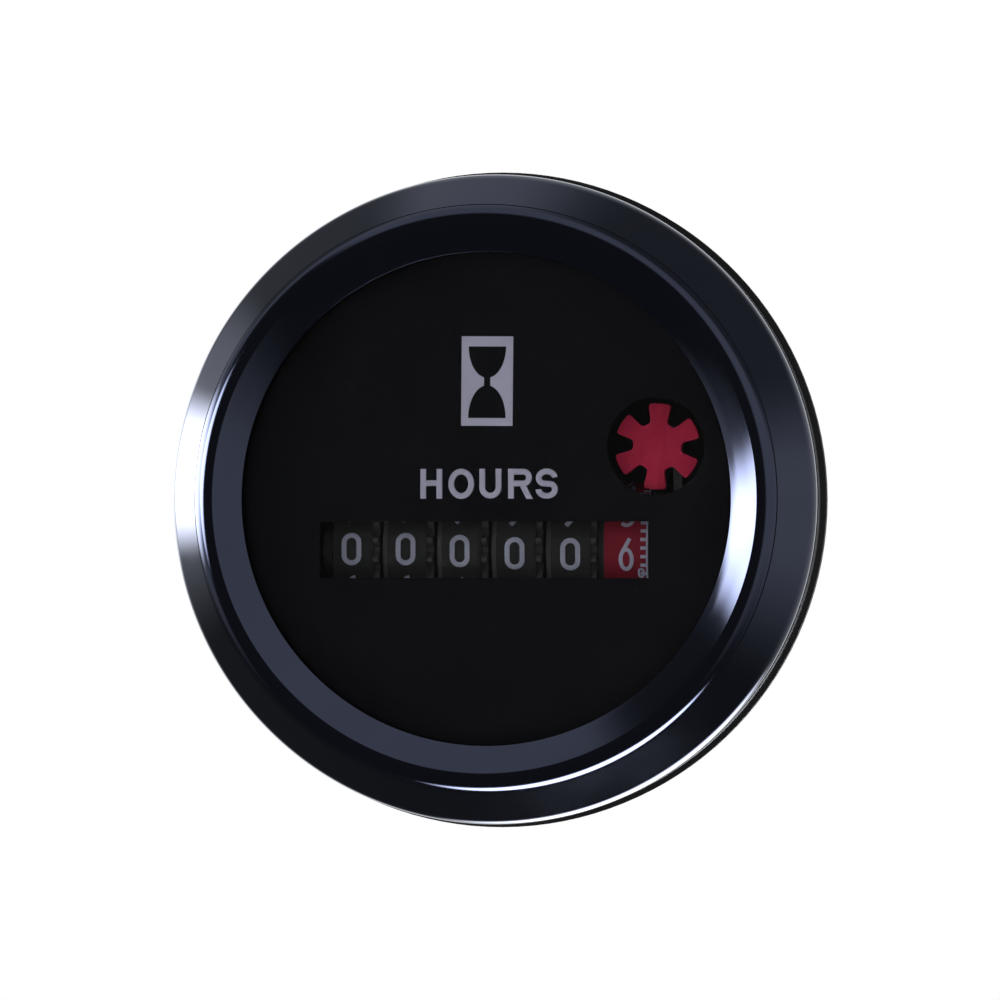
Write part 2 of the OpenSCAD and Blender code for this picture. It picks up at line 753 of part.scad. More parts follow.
// Soft-iron plate: rotor hole between two narrow necks, and a leg that returns to the coil's far end
module stator() {
    top = rotor_at.y;
    color(steel) stand() translate([0, 0, stator_back]) linear_extrude(stator_t) difference() {
        union() {
            translate([coil_x - 2, top - bar_w / 2]) square([rotor_at.x - coil_x + 2, bar_w]);
            translate([rotor_at.x, foot_y - foot_w / 2])
                square([leg_w, top + bar_w / 2 - foot_y + foot_w / 2]);
            translate([coil_x - 2, foot_y - foot_w / 2]) square([rotor_at.x - coil_x + leg_w, foot_w]);
        }
        translate(rotor_at) circle(pole_r);
        for (p = [pads[0], pads[1]]) translate(p) circle(screw_r);
    }
}

module coil_core() {
    low = foot_y - 1.7;
    high = rotor_at.y + 1.7;
    color(steel) stand() translate([0, 0, stator_front]) linear_extrude(core_t) difference() {
        translate([coil_x - core_w / 2, low]) square([core_w, high - low]);
        for (p = [pads[0], pads[1]]) translate(p) circle(screw_r);
    }
}

// Places children with z along the coil, from its lower end
module along_coil() { stand() translate([coil_x, coil_low, core_mid]) rotate([-90, 0, 0]) children(); }

module coil_bobbin() {
    length = coil_high - coil_low;
    color(cream) along_coil() linear_extrude(length) difference() {
        square([core_w + 2 * tube_t, core_t + 2 * tube_t], center = true);
        square([core_w, core_t], center = true);
    }
    color(cream) along_coil() for (z = [0, length - cheek_t])
        translate([0, 0, z]) linear_extrude(cheek_t) difference() {
            circle(d = coil_d);
            square([core_w, core_t], center = true);
        }
}

module coil_winding() {
    length = coil_high - coil_low - 2 * cheek_t;
    color([0.6, 0.3, 0.15]) along_coil() translate([0, 0, cheek_t]) linear_extrude(length) difference() {
        circle(d = coil_d - 0.5);
        square([core_w + 2 * tube_t, core_t + 2 * tube_t], center = true);
    }
}

module circuit_board() {
    color([0.1, 0.35, 0.2]) stand() translate([0, 0, board_back]) linear_extrude(board_t) difference() {
        circle(board_r);
        for (y = standoff_y) translate([0, y]) circle(screw_r);
        for (s = [-1, 1]) translate([s * blade_pitch / 2, blade_y])
            square([blade_t, tail_w], center = true);
    }
}

// Crystal can lying on the board
module quartz_crystal() {
    r = 1;
    color(steel) stand() translate([-3, 8, board_front + r]) rotate([0, 90, 0]) cylinder(r = r, h = 6);
}

// Small-outline chip: moulded body on two rows of bent leads
module driver_chip() {
    color([0.12, 0.12, 0.12]) stand() translate([2, 1, board_front]) {
        translate([-2.5, -2, 0.15]) cube([5, 4, 1.4]);
        for (x = [-1.9, -0.63, 0.63, 1.9]) translate([x - 0.2, -3, 0]) cube([0.4, 6, 0.2]);
    }
}

module capacitor() {
    color([0.8, 0.6, 0.2]) stand() translate([-8.5, 2, board_front]) cube([3.5, 2.8, 1.9]);
}

module diode() {
    r = 0.8;
    color([0.7, 0.35, 0.2]) stand() translate([7, -3, board_front + r])
        rotate([-90, 0, 0]) cylinder(r = r, h = 3.5);
}

module movement_screws() {
    color(steel) stand() for (a = boss_angles) rotate(a)
        translate([boss_at, 0, plate_front]) screw(plate_t + boss_bite);
}

module plate_screws() {
    color(steel) stand() for (p = pillars)
        translate([p.x, p.y, rear_back]) mirror([0, 0, 1]) screw(plate_t + pillar_bite);
}

module frame_screws() {
    color(steel) stand() for (x = frame_screw_x)
        translate([x, frame_screw_y, web_z + frame_t]) screw(frame_t + plate_t);
}

module core_screws() {
    depth = stator_front + core_t - rear_back - 0.2;
    color(steel) stand() for (p = [pads[0], pads[1]])
        translate([p.x, p.y, stator_front + core_t]) screw(depth);
}

module board_screws() {
    color(steel) stand() for (y = standoff_y) translate([0, y, board_front]) screw(board_t + board_bite);
}

bezel();
lens_seal();
lens();
dial();
panel_gasket();
case();
mounting_studs();
terminal_left();
terminal_right();
counter_frame();
drum_shaft();
pinion_shaft();
drum_ten_thousands();
drum_thousands();
drum_hundreds();
drum_tens();
drum_units();
drum_tenths();
transfer_pinion_1();
transfer_pinion_2();
transfer_pinion_3();
transfer_pinion_4();
transfer_pinion_5();
worm_wheel();
indicator_arbor();
worm();
star_wheel();
arbor_wheel();
reduction_wheel();
rotor_pinion();
rotor_magnet();
front_plate();
rear_plate();
plate_pillars();
stator();
coil_core();
coil_bobbin();
coil_winding();
circuit_board();
quartz_crystal();
driver_chip();
capacitor();
diode();
movement_screws();
plate_screws();
frame_screws();
core_screws();
board_screws();
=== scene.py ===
import bpy
import json
import math
from mathutils import Matrix, Vector


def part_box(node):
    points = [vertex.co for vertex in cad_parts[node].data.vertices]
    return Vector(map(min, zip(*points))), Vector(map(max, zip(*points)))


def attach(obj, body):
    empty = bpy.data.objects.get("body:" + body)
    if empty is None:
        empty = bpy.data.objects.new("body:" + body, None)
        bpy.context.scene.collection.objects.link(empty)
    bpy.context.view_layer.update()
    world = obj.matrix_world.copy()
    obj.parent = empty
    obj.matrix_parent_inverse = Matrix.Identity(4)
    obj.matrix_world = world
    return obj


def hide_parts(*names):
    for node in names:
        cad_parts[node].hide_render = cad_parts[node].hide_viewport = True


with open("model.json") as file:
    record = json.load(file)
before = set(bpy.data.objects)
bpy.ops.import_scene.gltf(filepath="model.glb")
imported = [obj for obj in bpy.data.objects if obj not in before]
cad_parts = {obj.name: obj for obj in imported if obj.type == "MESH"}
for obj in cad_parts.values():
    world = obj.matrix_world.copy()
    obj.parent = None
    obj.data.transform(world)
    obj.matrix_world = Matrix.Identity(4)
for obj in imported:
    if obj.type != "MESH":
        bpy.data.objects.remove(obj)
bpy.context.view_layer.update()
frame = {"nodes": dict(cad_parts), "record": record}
nodes = frame["nodes"]
scene = bpy.context.scene
mm = 0.001
weld = 1e-7  # vertices nearer than this become one, in metres


def clearAll():
    if bpy.context.mode != "OBJECT":
        bpy.ops.object.mode_set(mode="OBJECT")
    bpy.ops.object.select_all(action="DESELECT")


def pick(piece):
    clearAll()
    piece.select_set(True)
    bpy.context.view_layer.objects.active = piece


def applyPlace():
    bpy.ops.object.transform_apply(location=True, rotation=True, scale=True)


def smoothBy(degrees):
    bpy.ops.object.shade_smooth_by_angle(angle=math.radians(degrees))


def settle(piece, name):
    # the place goes into the mesh, the object stays at the origin
    pick(piece)
    applyPlace()
    piece.name = name
    piece.data.name = name
    return piece


# camera at the photograph's angle: a little from the right and from below
camera = {"yaw": 8.16, "pitch": -0.6, "distance": 450, "lens": 178.97, "sensor": 36, "clip": 10,
          "aim": (0.85, -7.0, -0.09)}


def setCamera():
    yaw, pitch = math.radians(camera["yaw"]), math.radians(camera["pitch"])
    back = Vector((math.sin(yaw) * math.cos(pitch), -math.cos(yaw) * math.cos(pitch), math.sin(pitch)))
    aim = Vector(camera["aim"]) * mm
    bpy.ops.object.camera_add(location=aim + back * camera["distance"] * mm)
    eye = bpy.context.object
    eye.rotation_mode = "QUATERNION"
    eye.rotation_quaternion = back.to_track_quat("Z", "Y")
    eye.data.lens = camera["lens"]
    eye.data.sensor_width = camera["sensor"]
    eye.data.clip_start = camera["clip"] * mm
    eye.data.dof.use_dof = False
    eye.name = "photoCamera"
    scene.camera = eye


clearAll()
setCamera()
scene.view_settings.view_transform = "Standard"
print("camera set")


# shader groups that more than one material uses; scales are per metre
noiseRough = 0.55
grainLook = {"scale": 4000.0, "drift": 150.0, "slow": 0.7, "fine": 0.3, "span": (0.3, 0.7)}
dustLook = {"scale": 1100.0, "amount": 0.05, "patch": 260.0, "span": (0.5, 0.75), "colour": (0.2, 0.2, 0.2)}
latheLook = {"pitch": 9000.0, "swirl": 2.0, "drift": 70.0, "span": (0.35, 0.65), "roughSpan": (0.2, 0.8),
             "bump": 0.05, "depth": 0.01}


def newGroup(name, inputs, outputs):
    group = bpy.data.node_groups.new(name, "ShaderNodeTree")
    for socket, value in inputs:
        group.interface.new_socket(socket, in_out="INPUT", socket_type="NodeSocketFloat").default_value = value
    for socket in outputs:
        group.interface.new_socket(socket, in_out="OUTPUT", socket_type="NodeSocketFloat")
    return group, group.nodes.new("NodeGroupInput"), group.nodes.new("NodeGroupOutput")


def wire(tree, *pairs):
    for a, b in pairs:
        tree.links.new(a, b)


def addMath(tree, operation, first, second=None):
    node = tree.nodes.new("ShaderNodeMath")
    node.operation = operation
    for i, value in enumerate((first, second)):
        if isinstance(value, (int, float)):
            node.inputs[i].default_value = value
        elif value is not None:
            tree.links.new(value, node.inputs[i])
    return node.outputs[0]


def hypotenuse(tree, a, b):
    squares = [addMath(tree, "MULTIPLY", side, side) for side in (a, b)]
    return addMath(tree, "SQRT", addMath(tree, "ADD", *squares))


def addNoise(tree, vector, scale, detail):
    node = tree.nodes.new("ShaderNodeTexNoise")
    node.inputs["Detail"].default_value = detail
    node.inputs["Roughness"].default_value = noiseRough
    tree.links.new(vector, node.inputs["Vector"])
    if isinstance(scale, (int, float)):
        node.inputs["Scale"].default_value = scale
    else:
        tree.links.new(scale, node.inputs["Scale"])
    return node.outputs["Fac"]


def addRange(tree, value, low, high, toLow, toHigh, smooth=False):
    node = tree.nodes.new("ShaderNodeMapRange")
    node.interpolation_type = "SMOOTHSTEP" if smooth else "LINEAR"
    for socket, number in (("From Min", low), ("From Max", high), ("To Min", toLow), ("To Max", toHigh)):
        node.inputs[socket].default_value = number
    tree.links.new(value, node.inputs["Value"])
    return node.outputs["Result"]


def makeGrain():
    # fine moulded or printed grain, with a slow drift of tone over it
    group, start, end = newGroup("surfaceGrain", [("Scale", grainLook["scale"]), ("Drift", grainLook["drift"])],
                                 ["Height", "Tone"])
    place = group.nodes.new("ShaderNodeTexCoord").outputs["Object"]
    fine = addNoise(group, place, start.outputs["Scale"], 4.0)
    slow = addNoise(group, place, start.outputs["Drift"], 2.0)
    tone = addMath(group, "ADD", addMath(group, "MULTIPLY", slow, grainLook["slow"]),
                   addMath(group, "MULTIPLY", fine, grainLook["fine"]))
    wire(group, (fine, end.inputs["Height"]), (tone, end.inputs["Tone"]))
    return group


def makeSpecks():
    # sparse dust specks, of mixed sizes
    group, start, end = newGroup("dustSpecks", [("Scale", dustLook["scale"]), ("Amount", dustLook["amount"])], ["Mask"])
    place = group.nodes.new("ShaderNodeTexCoord").outputs["Object"]
    cells = group.nodes.new("ShaderNodeTexVoronoi")
    wire(group, (place, cells.inputs["Vector"]), (start.outputs["Scale"], cells.inputs["Scale"]))
    patch = addNoise(group, place, dustLook["patch"], 2.0)
    reach = addMath(group, "MULTIPLY", addRange(group, patch, *dustLook["span"], 0.0, 1.0), start.outputs["Amount"])
    speck = addMath(group, "LESS_THAN", cells.outputs["Distance"], reach)
    wire(group, (speck, end.inputs["Mask"]))
    return group


def makeLathe():
    # turning lines round the part's own axis, which is y
    group, start, end = newGroup("latheLines", [("Pitch", latheLook["pitch"]), ("Swirl", latheLook["swirl"])],
                                 ["Height", "Tone"])
    place = group.nodes.new("ShaderNodeTexCoord").outputs["Object"]
    split = group.nodes.new("ShaderNodeSeparateXYZ")
    wire(group, (place, split.inputs[0]))
    x, y, z = split.outputs
    join = group.nodes.new("ShaderNodeCombineXYZ")
    spread = ((hypotenuse(group, x, z), "Pitch"), (y, "Pitch"), (addMath(group, "ARCTAN2", z, x), "Swirl"))
    for i, (value, factor) in enumerate(spread):
        wire(group, (addMath(group, "MULTIPLY", value, start.outputs[factor]), join.inputs[i]))
    lines = addNoise(group, join.outputs[0], 1.0, 3.0)
    slow = addNoise(group, place, latheLook["drift"], 3.0)
    wire(group, (lines, end.inputs["Height"]), (slow, end.inputs["Tone"]))
    return group


grainGroup, speckGroup, latheGroup = makeGrain(), makeSpecks(), makeLathe()


def useGroup(tree, group, **values):
    node = tree.nodes.new("ShaderNodeGroup")
    node.node_tree = group
    for socket, value in values.items():
        node.inputs[socket].default_value = value
    return node


def mixTones(tree, mask, low, high):
    # a colour between two, by a mask or noise; each is a tone or another node's colour
    node = tree.nodes.new("ShaderNodeMix")
    node.data_type = "RGBA"
    for socket, colour in (("A", low), ("B", high)):
        if isinstance(colour, tuple):
            node.inputs[socket].default_value = (*colour, 1)
        else:
            tree.links.new(colour, node.inputs[socket])
    tree.links.new(mask, node.inputs["Factor"])
    return node.outputs["Result"]


def newFinish(name):
    material = bpy.data.materials.new(name)
    material.use_nodes = True
    tree = material.node_tree
    return material, tree, tree.nodes["Principled BSDF"]


def addBump(tree, shader, height, strength, depth):
    bump = tree.nodes.new("ShaderNodeBump")
    bump.inputs["Strength"].default_value = strength
    bump.inputs["Distance"].default_value = depth * mm
    tree.links.new(height, bump.inputs["Height"])
    tree.links.new(bump.outputs["Normal"], shader.inputs["Normal"])


def grainFinish(name, dark, light, roughLow, roughHigh, scale=grainLook["scale"], drift=grainLook["drift"],
                bump=0.15, depth=0.03, metallic=0.0, level=0.5, dust=0.0):
    material, tree, shader = newFinish(name)
    grain = useGroup(tree, grainGroup, Scale=scale, Drift=drift)
    tone = addRange(tree, grain.outputs["Tone"], *grainLook["span"], 0.0, 1.0)
    colour = mixTones(tree, tone, dark, light)
    if dust > 0:
        specks = useGroup(tree, speckGroup, Scale=dustLook["scale"], Amount=dust)
        colour = mixTones(tree, specks.outputs["Mask"], colour, dustLook["colour"])
    rough = addRange(tree, grain.outputs["Tone"], *grainLook["span"], roughLow, roughHigh)
    wire(tree, (colour, shader.inputs["Base Color"]), (rough, shader.inputs["Roughness"]))
    shader.inputs["Metallic"].default_value = metallic
    shader.inputs["Specular IOR Level"].default_value = level
    addBump(tree, shader, grain.outputs["Height"], bump, depth)
    return material


def latheFinish(name, dark, light, roughLow, roughHigh):
    material, tree, shader = newFinish(name)
    lines = useGroup(tree, latheGroup, Pitch=latheLook["pitch"], Swirl=latheLook["swirl"])
    tone = addRange(tree, lines.outputs["Tone"], *latheLook["span"], 0.0, 1.0)
    halves = [addMath(tree, "MULTIPLY", value, 0.5) for value in (tone, lines.outputs["Height"])]
    rough = addRange(tree, addMath(tree, "ADD", *halves), *latheLook["roughSpan"], roughLow, roughHigh)
    wire(tree, (mixTones(tree, tone, dark, light), shader.inputs["Base Color"]), (rough, shader.inputs["Roughness"]))
    shader.inputs["Metallic"].default_value = 1.0
    addBump(tree, shader, lines.outputs["Height"], latheLook["bump"], latheLook["depth"])
    return material


# each finish: dark and light tone, least and most roughness
finish = {
    "bezelBlack": latheFinish("bezelBlack", (0.068, 0.075, 0.112), (0.077, 0.084, 0.125), 0.07, 0.12),
    "dialBlack": grainFinish("dialBlack", (0.0054, 0.0054, 0.0068), (0.0076, 0.0076, 0.0094), 0.6, 0.75,
                             scale=9000.0, bump=0.06, level=0.05, dust=0.05),
    "printGrey": grainFinish("printGrey", (0.48, 0.47, 0.58), (0.52, 0.51, 0.63), 0.5, 0.65,
                             scale=7000.0, bump=0.05),
    "digitGrey": grainFinish("digitGrey", (0.32, 0.33, 0.41), (0.45, 0.46, 0.58), 0.45, 0.6,
                             scale=6000.0, drift=220.0),
    "drumBlack": grainFinish("drumBlack", (0.022, 0.022, 0.0215), (0.03, 0.03, 0.029), 0.55, 0.7,
                             drift=120.0, level=0.2),
    "drumRed": grainFinish("drumRed", (0.19, 0.009, 0.02), (0.25, 0.012, 0.027), 0.5, 0.65, drift=180.0, level=0.2),
    "starRed": grainFinish("starRed", (0.46, 0.017, 0.056), (0.54, 0.022, 0.068), 0.5, 0.65, drift=200.0, level=0.2),
    "rubberBlack": grainFinish("rubberBlack", (0.009, 0.009, 0.01), (0.014, 0.014, 0.015), 0.75, 0.9,
                               scale=2500.0, bump=0.04, depth=0.02),
    "caseBlack": grainFinish("caseBlack", (0.012, 0.012, 0.013), (0.018, 0.018, 0.02), 0.42, 0.58,
                             scale=1800.0, bump=0.25, depth=0.06, dust=0.04),
    "chipBlack": grainFinish("chipBlack", (0.02, 0.02, 0.02), (0.03, 0.03, 0.03), 0.5, 0.7),
    "gearCream": grainFinish("gearCream", (0.68, 0.64, 0.53), (0.76, 0.72, 0.62), 0.35, 0.5),
    "boardGreen": grainFinish("boardGreen", (0.03, 0.15, 0.06), (0.05, 0.2, 0.09), 0.3, 0.45),
    "capacitorOchre": grainFinish("capacitorOchre", (0.6, 0.4, 0.1), (0.7, 0.5, 0.15), 0.25, 0.4),
    "diodeAmber": grainFinish("diodeAmber", (0.4, 0.13, 0.04), (0.5, 0.2, 0.08), 0.1, 0.2),
    "platedSteel": grainFinish("platedSteel", (0.34, 0.34, 0.34), (0.44, 0.44, 0.46), 0.3, 0.45,
                               scale=3000.0, metallic=1.0),
    "threadSteel": grainFinish("threadSteel", (0.34, 0.34, 0.34), (0.44, 0.44, 0.46), 0.3, 0.45,
                               scale=3000.0, metallic=1.0),
    # the frame steel is lighter than its black paint: painted light for the shaded frame seen in the star hole and
    # between the drums
    "frameSteelPaintedLight": grainFinish("frameSteelPaintedLight", (0.14, 0.143, 0.152), (0.18, 0.184, 0.194), 0.5, 0.65, level=0.3),
    "plainBrass": latheFinish("plainBrass", (0.62, 0.46, 0.2), (0.74, 0.57, 0.28), 0.28, 0.42),
    "tinnedBrass": grainFinish("tinnedBrass", (0.58, 0.55, 0.48), (0.7, 0.68, 0.62), 0.25, 0.45,
                               scale=2600.0, metallic=1.0),
    "copperWire": grainFinish("copperWire", (0.5, 0.2, 0.08), (0.66, 0.3, 0.14), 0.25, 0.4, metallic=0.8),
    "magnetGrey": grainFinish("magnetGrey", (0.2, 0.2, 0.21), (0.28, 0.28, 0.29), 0.45, 0.6, metallic=0.7),
}

# clear moulded lens: lamps shine straight through it
lens = {"tint": (0.98, 0.985, 1.0), "bend": 1.3, "scale": 600.0, "drift": 60.0, "haze": 0.012}


def makeLens():
    material, tree, shader = newFinish("clearLens")
    shader.inputs["Base Color"].default_value = (*lens["tint"], 1)
    shader.inputs["Transmission Weight"].default_value = 1.0
    shader.inputs["IOR"].default_value = lens["bend"]
    haze = useGroup(tree, grainGroup, Scale=lens["scale"], Drift=lens["drift"])
    rough = addRange(tree, haze.outputs["Tone"], *grainLook["span"], 0.0, lens["haze"])
    wire(tree, (rough, shader.inputs["Roughness"]))
    out = tree.nodes["Material Output"]
    through = tree.nodes.new("ShaderNodeBsdfTransparent")
    light = tree.nodes.new("ShaderNodeLightPath")
    mix = tree.nodes.new("ShaderNodeMixShader")
    wire(tree, (light.outputs["Is Shadow Ray"], mix.inputs[0]), (shader.outputs[0], mix.inputs[1]),
         (through.outputs[0], mix.inputs[2]), (mix.outputs[0], out.inputs["Surface"]))
    return material


def splitPlace(tree):
    # the three Object coordinates, each in mm
    split = tree.nodes.new("ShaderNodeSeparateXYZ")
    wire(tree, (tree.nodes.new("ShaderNodeTexCoord").outputs["Object"], split.inputs[0]))
    return [addMath(tree, "DIVIDE", split.outputs[axis], mm) for axis in "XYZ"]


def colourUnderMask(tree, mask, under):
    # where the mask is 0, another colour lies under the finish's own: the real black beside the red drum, painted light
    # in the drum gaps, painted shade in the thread roots
    base = tree.nodes["Principled BSDF"].inputs["Base Color"]
    wire(tree, (mixTones(tree, mask, under, base.links[0].from_socket), base))


# the black drums are lighter inside the radius of their rims, a painted light that lifts the shade in the recessed gaps
# between drums; the red stops short of the carry disc
drumAxis = (0.4, -4.6)
drumColourAndPaintedLight = {"rim": (6.0, 6.12), "paintedGapLight": (0.085, 0.085, 0.083),
             "redFrom": (10.2, 10.24), "black": (0.03, 0.03, 0.03)}


def colourDrumsAndPaintGapLight():
    tree = finish["drumBlack"].node_tree
    sides = [addMath(tree, "SUBTRACT", side, middle) for side, middle in zip(splitPlace(tree)[1:], drumAxis)]
    mask = addRange(tree, hypotenuse(tree, *sides), *drumColourAndPaintedLight["rim"], 0.0, 1.0, True)
    # painted light: the recessed faces inside the rims get a lighter colour against their shade
    colourUnderMask(tree, mask, drumColourAndPaintedLight["paintedGapLight"])
    tree = finish["drumRed"].node_tree
    mask = addRange(tree, splitPlace(tree)[0], *drumColourAndPaintedLight["redFrom"], 0.0, 1.0, True)
    colourUnderMask(tree, mask, drumColourAndPaintedLight["black"])


# painted shade in the roots of the stud threads
studX = 16.0
threadRootShade = {"root": (1.6, 1.95), "colour": (0.06, 0.06, 0.06)}


def shadeThreads():
    tree = finish["threadSteel"].node_tree
    x, _, z = splitPlace(tree)
    side = addMath(tree, "SUBTRACT", addMath(tree, "ABSOLUTE", x), studX)
    mask = addRange(tree, hypotenuse(tree, side, z), *threadRootShade["root"], 0.0, 1.0, True)
    # painted shade: the thread roots are darker where shade falls between the crests
    colourUnderMask(tree, mask, threadRootShade["colour"])


colourDrumsAndPaintGapLight()
shadeThreads()
finish["clearLens"] = makeLens()
slotFinish = {
    "bezel_black": "bezelBlack", "clear_lens": "clearLens", "dial_black": "dialBlack", "rubber_black": "rubberBlack",
    "case_black": "caseBlack", "drum_black": "drumBlack", "drum_red": "drumRed", "star_red": "starRed",
    "gear_cream": "gearCream", "steel": "platedSteel", "frame_steel": "frameSteelPaintedLight", "brass": "plainBrass",
    "tinned_brass": "tinnedBrass", "copper": "copperWire", "magnet": "magnetGrey", "board_green": "boardGreen",
    "chip_black": "chipBlack", "capacitor_ochre": "capacitorOchre", "diode_amber": "diodeAmber",
}
for part in frame["record"]["subparts"]:
    mesh = nodes[part["node"]].data
    mesh.materials.clear()
    mesh.materials.append(finish[slotFinish[part["material_slot"]]])
print("finishes on", len(nodes), "nodes")


def wear(piece, name, body):
    piece.data.materials.clear()
    piece.data.materials.append(finish[name])
    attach(piece, body)


# the bezel is spun again with finer bends than its solid has; heights are from the panel, in mm
# groove: a fine turned line at the top of the cone, as way along and depth
bezel = {"view": 22.2, "lip": 10.9, "sheet": 0.6, "lipRound": 0.01, "dishWidth": 2.45, "dishDrop": 1.5,
         "dishShares": (0.3, 0.6), "dishFillet": 0.3, "flat": 0.2, "crestBend": 1.6, "underIn": 0.16,
         "groove": ((0.12, 0.0), (0.2, 0.07), (0.28, 0.0)), "edgeR": 29.5, "edge": 5.64, "edgeBend": 3.4,
         "hem": 4.3, "hemWidth": 1.1, "hemCorner": 0.15, "steps": 256}
spunSmooth = 32


def arcPoints(centre, radius, start, stop, count):
    points = []
    for i in range(count + 1):
        a = math.radians(start + (stop - start) * i / count)
        points.append((centre[0] + radius * math.cos(a), centre[1] + radius * math.sin(a)))
    return points


def tracePath(path):
    # a chain of edges through the points, left in edit mode
    clearAll()
    bpy.ops.mesh.primitive_plane_add(size=mm)
    piece = bpy.context.object
    bpy.ops.object.mode_set(mode="EDIT")
    bpy.ops.mesh.select_all(action="SELECT")
    bpy.ops.mesh.merge(type="CENTER")
    bpy.ops.transform.translate(value=path[0])
    for here, there in zip(path, path[1:]):
        bpy.ops.mesh.extrude_vertices_move(TRANSFORM_OT_translate={"value": there - here})
    return piece


def closeMesh():
    # joins the seams and leaves edit mode
    bpy.ops.mesh.select_all(action="SELECT")
    bpy.ops.mesh.remove_doubles(threshold=weld)
    bpy.ops.mesh.normals_make_consistent(inside=False)
    bpy.ops.object.mode_set(mode="OBJECT")


def spinProfile(name, profile, steps):
    # profile is radius and height towards the reader, in mm
    piece = tracePath([Vector((r, -h, 0)) * mm for r, h in profile])
    bpy.ops.mesh.select_all(action="SELECT")
    bpy.ops.mesh.spin(steps=steps, angle=2 * math.pi, center=(0, 0, 0), axis=(0, 1, 0))
    closeMesh()
    smoothBy(spunSmooth)
    return settle(piece, name)


def lean(tilt):
    # outward normal of a surface that is tilted away from the axis
    return Vector((math.sin(math.radians(tilt)), math.cos(math.radians(tilt))))


def bendOn(points, radius, start, stop, steps):
    # carries the profile on round a bend, from one tilt to another
    centre = Vector(points[-1]) - radius * lean(start)
    points += [tuple(centre + radius * lean(start + (stop - start) * i / steps)) for i in range(1, steps + 1)]


def makeBezel():
    b = bezel
    dish = -math.degrees(math.atan2(b["dishDrop"], b["dishWidth"]))
    crestIn, crest = b["view"] + b["dishWidth"], b["lip"] + b["dishDrop"]
    face = arcPoints((b["view"] + b["lipRound"], b["lip"] - b["lipRound"]), b["lipRound"], 180, 90 - dish, 4)
    run = b["dishFillet"] * math.tan(math.radians(-dish / 2))
    for share in (*b["dishShares"], 1 - run / math.hypot(b["dishWidth"], b["dishDrop"])):
        face.append((b["view"] + share * b["dishWidth"], b["lip"] + share * b["dishDrop"]))
    bendOn(face, b["dishFillet"], dish, 0, 6)
    fold = Vector((crestIn + run + b["flat"], crest - b["crestBend"]))
    edge = Vector((b["edgeR"] - b["edgeBend"], b["edge"]))
    # the cone touches both the crest and the edge bend
    across = edge - fold
    swing = math.acos((b["crestBend"] - b["edgeBend"]) / across.length)
    cone = math.degrees(swing + math.atan2(across.y, across.x))
    face += arcPoints(fold, b["crestBend"], 90, cone, 22)
    top, down = Vector(face[-1]), Vector((math.sin(math.radians(cone)), -math.cos(math.radians(cone))))
    face += [tuple(top + along * down - deep * lean(90 - cone)) for along, deep in b["groove"]]
    face += arcPoints(edge, b["edgeBend"], cone, 0, 18)
    hemIn, corner = b["edgeR"] - b["hemWidth"], b["hemCorner"]
    face += [(b["edgeR"], b["hem"] + corner), (b["edgeR"] - corner, b["hem"]), (hemIn, b["hem"])]
    sheet = b["sheet"]
    back = [(hemIn, b["hem"] + sheet), (b["edgeR"] - sheet, b["hem"] + sheet)]
    back += arcPoints(edge, b["edgeBend"] - sheet, 0, cone, 6) + arcPoints(fold, b["crestBend"] - sheet, cone, 90, 8)
    back += [(crestIn + b["underIn"], crest - sheet), (b["view"], b["lip"] - sheet)]
    piece = spinProfile("bezelRing", face + back + face[:1], b["steps"])
    wear(piece, "bezelBlack", "meter")
    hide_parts("bezel")


makeBezel()
print("bezel spun")


# star wheel: the solid's outline with rounded arms and soft rims
star = {"corner": 0.34, "cornerSteps": 4, "rim": 0.12, "rimSteps": 3, "rimAngle": 50, "hub": 1.5, "upright": 0.99,
        "weld": 1e-6, "flat": 2, "smooth": 40}


def makeStar():
    clearAll()
    piece = nodes["star_wheel"].copy()
    piece.data = nodes["star_wheel"].data.copy()
    for key in list(piece.keys()):
        del piece[key]
    scene.collection.objects.link(piece)
    piece.parent = None
    pick(piece)
    bpy.ops.object.mode_set(mode="EDIT")
    bpy.ops.mesh.select_all(action="SELECT")
    bpy.ops.mesh.remove_doubles(threshold=star["weld"])
    bpy.ops.mesh.dissolve_limited(angle_limit=math.radians(star["flat"]))
    bpy.ops.object.mode_set(mode="OBJECT")
    # the upright edges of the arms get the large round
    middle = Vector((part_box("star_wheel")[0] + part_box("star_wheel")[1])) / 2
    weight = piece.data.attributes.new("bevel_weight_edge", "FLOAT", "EDGE")
    for e in piece.data.edges:
        a, b = [piece.data.vertices[v].co for v in e.vertices]
        out = ((a + b) / 2 - middle) * Vector((1, 0, 1))
        upright = abs((b - a).normalized().y) > star["upright"]
        weight.data[e.index].value = 1.0 if upright and out.length > star["hub"] * mm else 0.0
    arms = piece.modifiers.new("corner", "BEVEL")
    arms.limit_method = "WEIGHT"
    arms.width = star["corner"] * mm
    arms.segments = star["cornerSteps"]
    soft = piece.modifiers.new("rim", "BEVEL")
    soft.width = star["rim"] * mm
    soft.segments = star["rimSteps"]
    soft.limit_method = "ANGLE"
    soft.angle_limit = math.radians(star["rimAngle"])
    bpy.ops.object.modifier_apply(modifier="corner")
    bpy.ops.object.modifier_apply(modifier="rim")
    smoothBy(star["smooth"])
    settle(piece, "starIndicator")
    wear(piece, "starRed", "indicator")
    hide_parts("star_wheel")


makeStar()
print("star rounded")


# ribbons of one width along centre lines, for the word, the numbers and the scale
strokeLook = {"longest": 0.16, "roundSteps": 2, "same": 1e-6, "smooth": 40}


def evenSteps(path, longest):
    points = [path[0]]
    for here, there in zip(path, path[1:]):
        count = max(1, math.ceil(math.dist(here, there) / longest))
        points += [(here[0] + (there[0] - here[0]) * k / count, here[1] + (there[1] - here[1]) * k / count)
                   for k in range(1, count + 1)]
    return points


